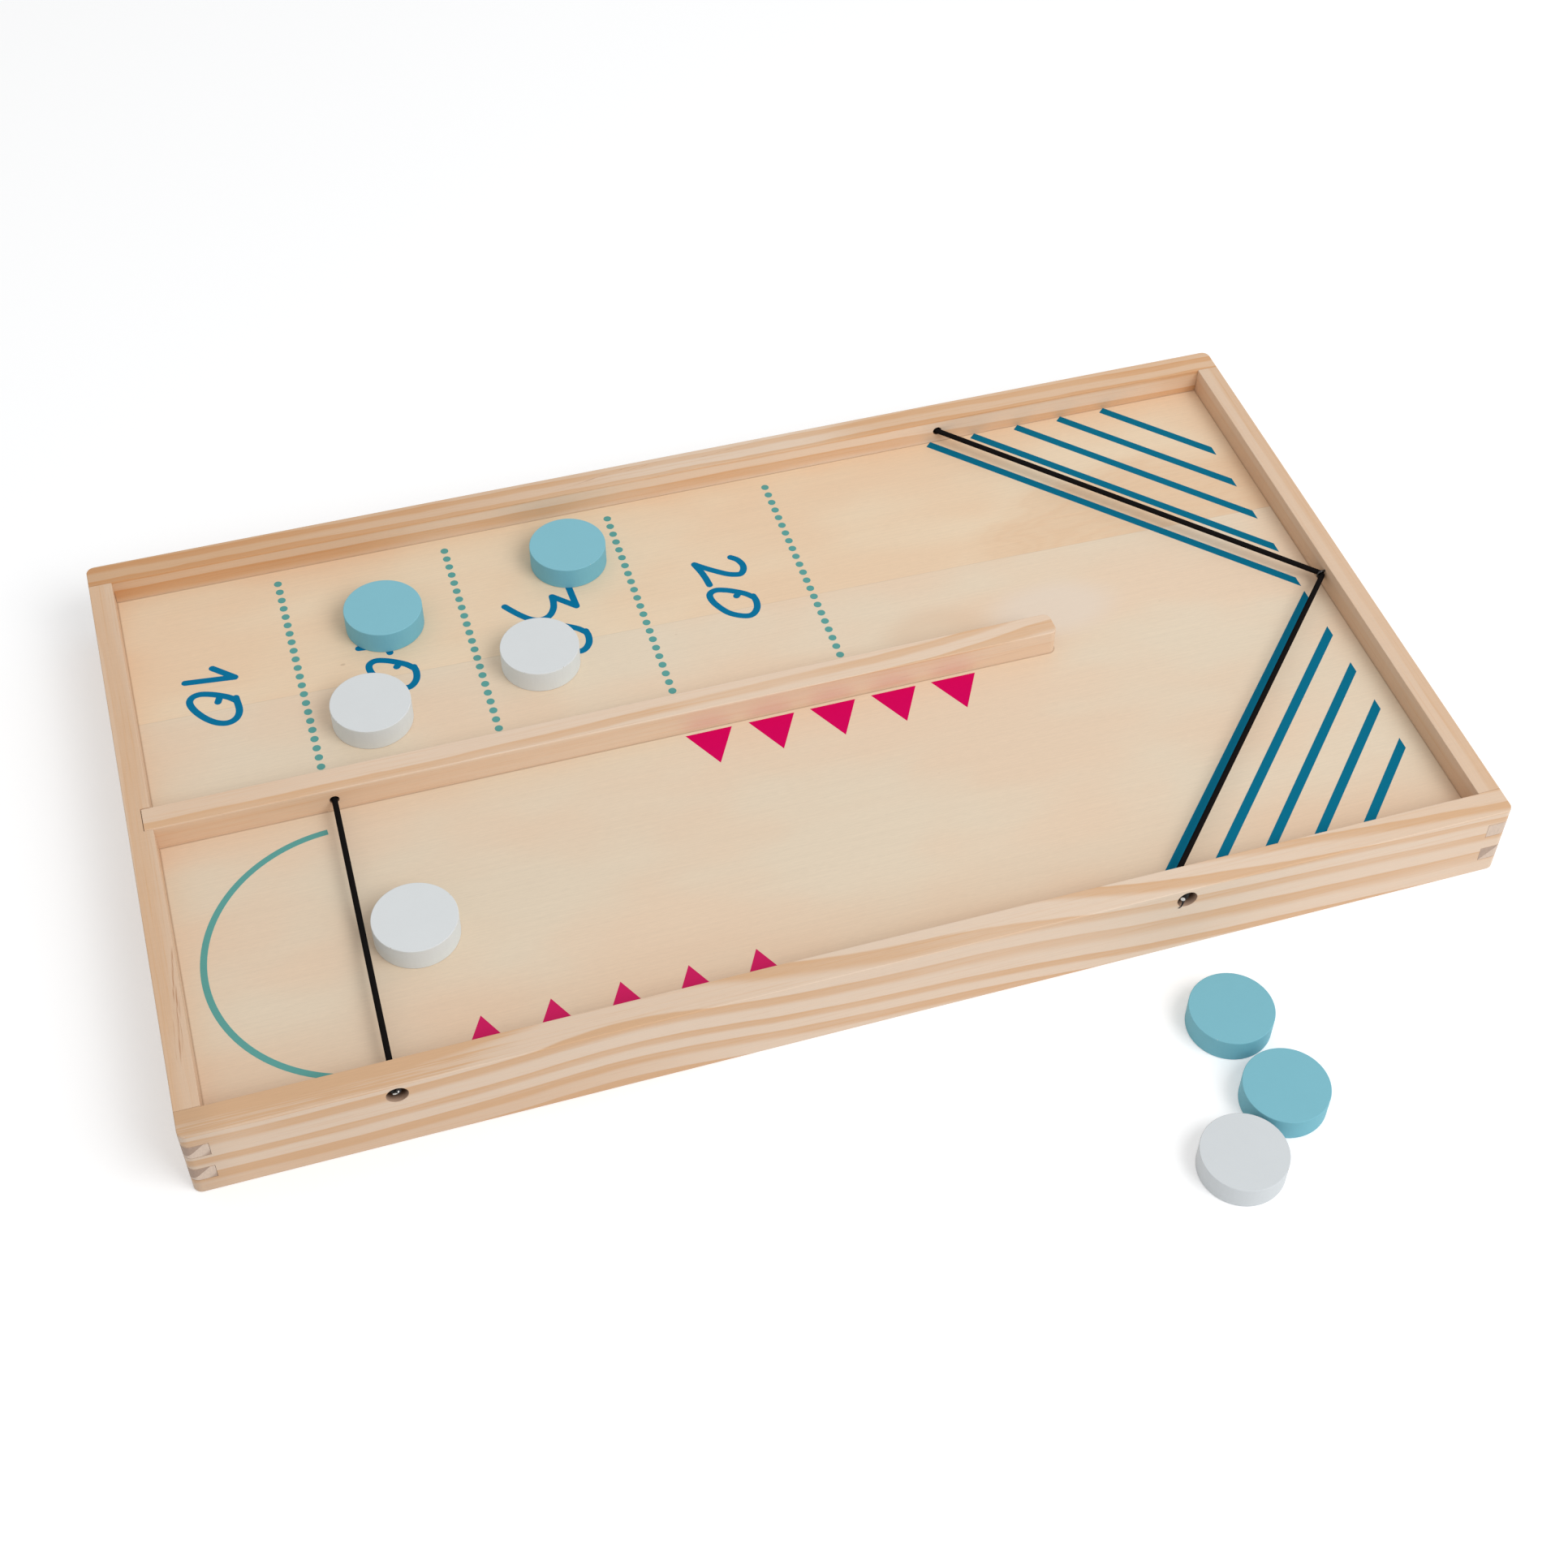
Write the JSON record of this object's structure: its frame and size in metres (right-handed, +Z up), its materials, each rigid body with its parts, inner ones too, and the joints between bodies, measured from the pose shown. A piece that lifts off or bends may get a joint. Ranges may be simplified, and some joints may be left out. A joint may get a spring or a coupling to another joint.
{
  "type": "sling puck board",
  "caption": "Wooden tray game in two lanes: an elastic slings a puck down one lane, a second elastic turns it back into the numbered scoring lane.",
  "frame": {"origin": "centre of the playing surface", "axes": "+X runs along the board to the deflector end, +Y to the back rail on the scoring lane's side, +Z up out of the tray"},
  "size_m": [0.6, 0.4773, 0.041],
  "materials": {
    "long_rails": "clear-lacquered pine, satin",
    "end_rails": "clear-lacquered pine, satin",
    "floor": "poplar plywood, satin, with printed score lines",
    "divider": "clear-lacquered pine, satin",
    "steel": "zinc-plated",
    "launch_elastic": "black, slight sheen",
    "deflector_elastic": "black, slight sheen",
    "blue_puck": "sky-blue paint, matt",
    "white_puck": "white paint, matt"
  },
  "bodies": {
    "board": {"front_rail": "long_rails", "back_rail": "long_rails", "left_rail": "end_rails", "right_rail": "end_rails", "floor_panel": "floor", "divider_rail": "divider", "divider_screws": "steel", "launch_cord_front": "launch_elastic", "launch_cord_back": "launch_elastic", "launch_knot_front": "launch_elastic", "launch_knot_back": "launch_elastic", "deflector_cord_back": "deflector_elastic", "deflector_cord_apex": "deflector_elastic", "deflector_cord_front": "deflector_elastic", "deflector_knot_back": "deflector_elastic", "deflector_knot_front": "deflector_elastic", "deflector_staple": "steel"},
    "launch_sling": {"launch_cord_nock": "launch_elastic"},
    "back_arm": {"deflector_strike_back": "deflector_elastic"},
    "front_arm": {"deflector_strike_front": "deflector_elastic"},
    "blue_puck_1": {"blue_puck_1": "blue_puck"},
    "blue_puck_2": {"blue_puck_2": "blue_puck"},
    "blue_puck_3": {"blue_puck_3": "blue_puck"},
    "blue_puck_4": {"blue_puck_4": "blue_puck"},
    "white_puck_1": {"white_puck_1": "white_puck"},
    "white_puck_2": {"white_puck_2": "white_puck"},
    "white_puck_3": {"white_puck_3": "white_puck"},
    "white_puck_4": {"white_puck_4": "white_puck"}
  },
  "joints": [
    {"name": "launch_pull", "type": "slide", "parent": "board", "child": "launch_sling", "axis": [-1, 0, 0], "range_m": [0, 0.06], "stiffness_N_per_m": 90, "deforming": ["launch_cord_front", "launch_cord_back"]},
    {"name": "launch_shot", "type": "slide", "parent": "launch_sling", "child": "white_puck_3", "axis": [1, 0, 0], "range_m": [0, 0.366]},
    {"name": "back_arm_give", "type": "slide", "parent": "board", "child": "back_arm", "axis": [0.727, 0.6867, 0], "range_m": [0, 0.02], "stiffness_N_per_m": 160, "deforming": ["deflector_cord_back", "deflector_cord_apex"]},
    {"name": "front_arm_give", "type": "slide", "parent": "board", "child": "front_arm", "axis": [0.727, -0.6867, 0], "range_m": [0, 0.02], "stiffness_N_per_m": 160, "deforming": ["deflector_cord_front", "deflector_cord_apex"]},
    {"name": "blue_puck_1_slide", "type": "slide", "parent": "board", "child": "blue_puck_1", "axis": [1, 0, 0], "range_m": [-0.104, 0.028]},
    {"name": "blue_puck_2_slide", "type": "slide", "parent": "board", "child": "blue_puck_2", "axis": [1, 0, 0], "range_m": [-0.028, 0.213]},
    {"name": "white_puck_1_slide", "type": "slide", "parent": "board", "child": "white_puck_1", "axis": [1, 0, 0], "range_m": [-0.087, 0.022]},
    {"name": "white_puck_2_slide", "type": "slide", "parent": "board", "child": "white_puck_2", "axis": [1, 0, 0], "range_m": [-0.022, 0.304]},
    {"name": "blue_puck_3_slide", "type": "slide", "parent": "board", "child": "blue_puck_3", "axis": [1, 0, 0], "range_m": [-0.1, 0.1]},
    {"name": "blue_puck_4_slide", "type": "slide", "parent": "board", "child": "blue_puck_4", "axis": [1, 0, 0], "range_m": [0, 0.1]},
    {"name": "white_puck_4_slide", "type": "slide", "parent": "board", "child": "white_puck_4", "axis": [1, 0, 0], "range_m": [-0.1, 0]}
  ]
}
